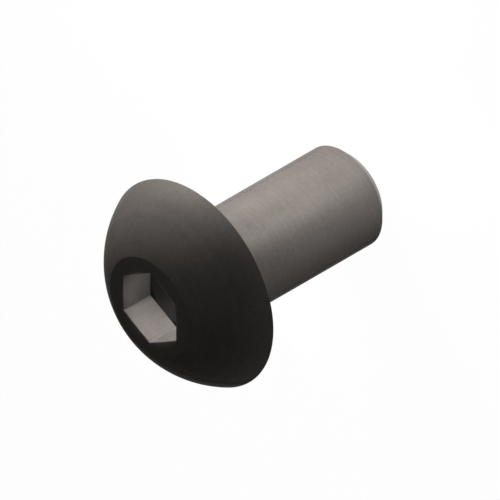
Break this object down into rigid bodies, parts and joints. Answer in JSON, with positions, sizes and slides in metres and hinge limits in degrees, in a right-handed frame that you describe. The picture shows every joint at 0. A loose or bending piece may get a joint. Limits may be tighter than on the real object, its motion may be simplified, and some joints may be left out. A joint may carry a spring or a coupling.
{
  "type": "button head socket screw",
  "caption": "Small metric button head screw: low domed head with a flat crown and a hexagon socket, flat bearing face, and a plain round shank with a chamfered tip.",
  "frame": {"origin": "on the screw's axis in the bearing plane under the head", "axes": "+Z along the axis from the shank out through the top of the head, two flats of the socket face along X and two of its corners lie along Y"},
  "size_m": [0.0062, 0.0062, 0.0076],
  "materials": {
    "black_oxide_steel": "black oxide, satin"
  },
  "bodies": {
    "root": {"screw": "black_oxide_steel"}
  },
  "joints": []
}
